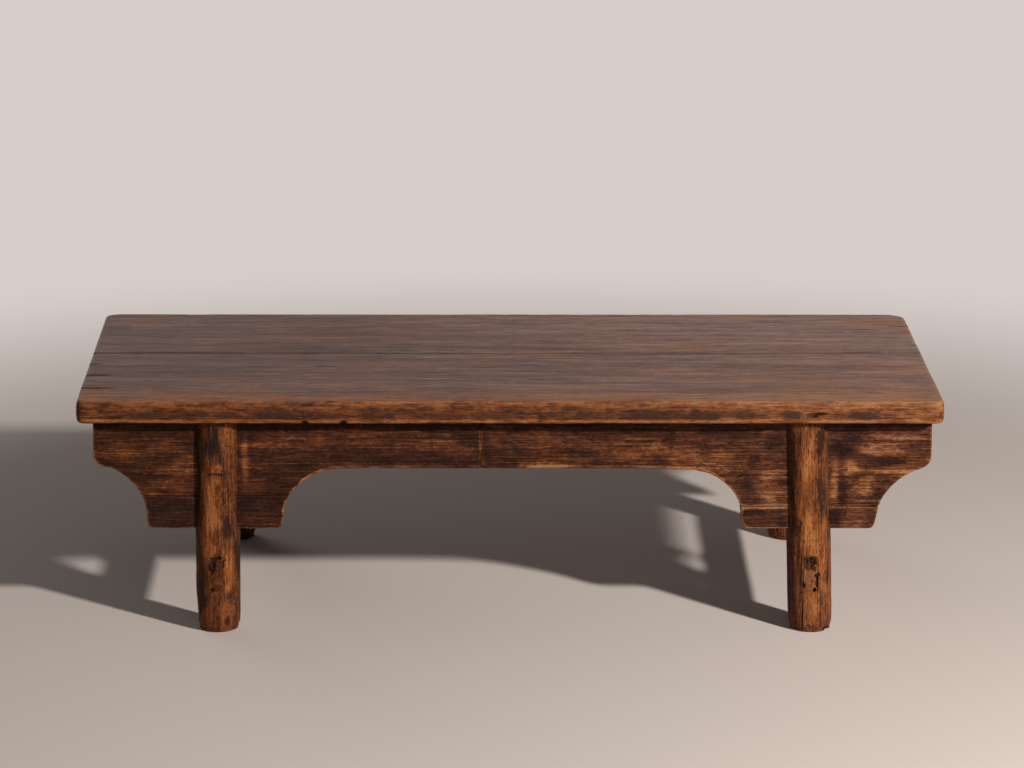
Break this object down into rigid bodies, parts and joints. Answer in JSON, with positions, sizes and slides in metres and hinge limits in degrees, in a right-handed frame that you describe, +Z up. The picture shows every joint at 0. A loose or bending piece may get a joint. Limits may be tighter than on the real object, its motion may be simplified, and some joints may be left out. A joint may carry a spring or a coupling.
{
  "type": "kang table",
  "caption": "Low wooden table with a thick plank top on round recessed legs that stand astride long aprons with shaped spandrels, tied by a wedged stretcher at each end.",
  "frame": {"origin": "on the floor, under the middle of the top", "axes": "+X along the length to the right, +Y to the back, +Z up; the front shown in the picture faces -Y"},
  "size_m": [1.2198, 0.565, 0.34],
  "materials": {
    "top_wood": "aged dark lacquer, satin, worn to warm brown at the arrises",
    "leg_wood": "old lacquer worn through to orange-brown wood with dark streaks",
    "apron_wood": "thin dark red-brown lacquer over figured wood",
    "cross_wood": "old lacquer, matt",
    "inner_wood": "bare wood inside the joints"
  },
  "bodies": {
    "root": {"top_front_plank": "top_wood", "top_rear_plank": "top_wood", "front_left_leg": "leg_wood", "front_right_leg": "leg_wood", "rear_left_leg": "leg_wood", "rear_right_leg": "leg_wood", "front_apron_left": "apron_wood", "front_apron_right": "apron_wood", "rear_apron": "apron_wood", "front_left_spandrel_strip": "apron_wood", "front_right_spandrel_strip": "apron_wood", "rear_left_spandrel_strip": "apron_wood", "rear_right_spandrel_strip": "apron_wood", "left_stretcher": "cross_wood", "right_stretcher": "cross_wood", "stretcher_wedges": "cross_wood", "left_end_apron": "cross_wood", "right_end_apron": "cross_wood", "top_joint_tongues": "inner_wood", "front_apron_keys": "inner_wood", "rear_apron_keys": "inner_wood", "front_apron_splice": "inner_wood"}
  },
  "joints": []
}
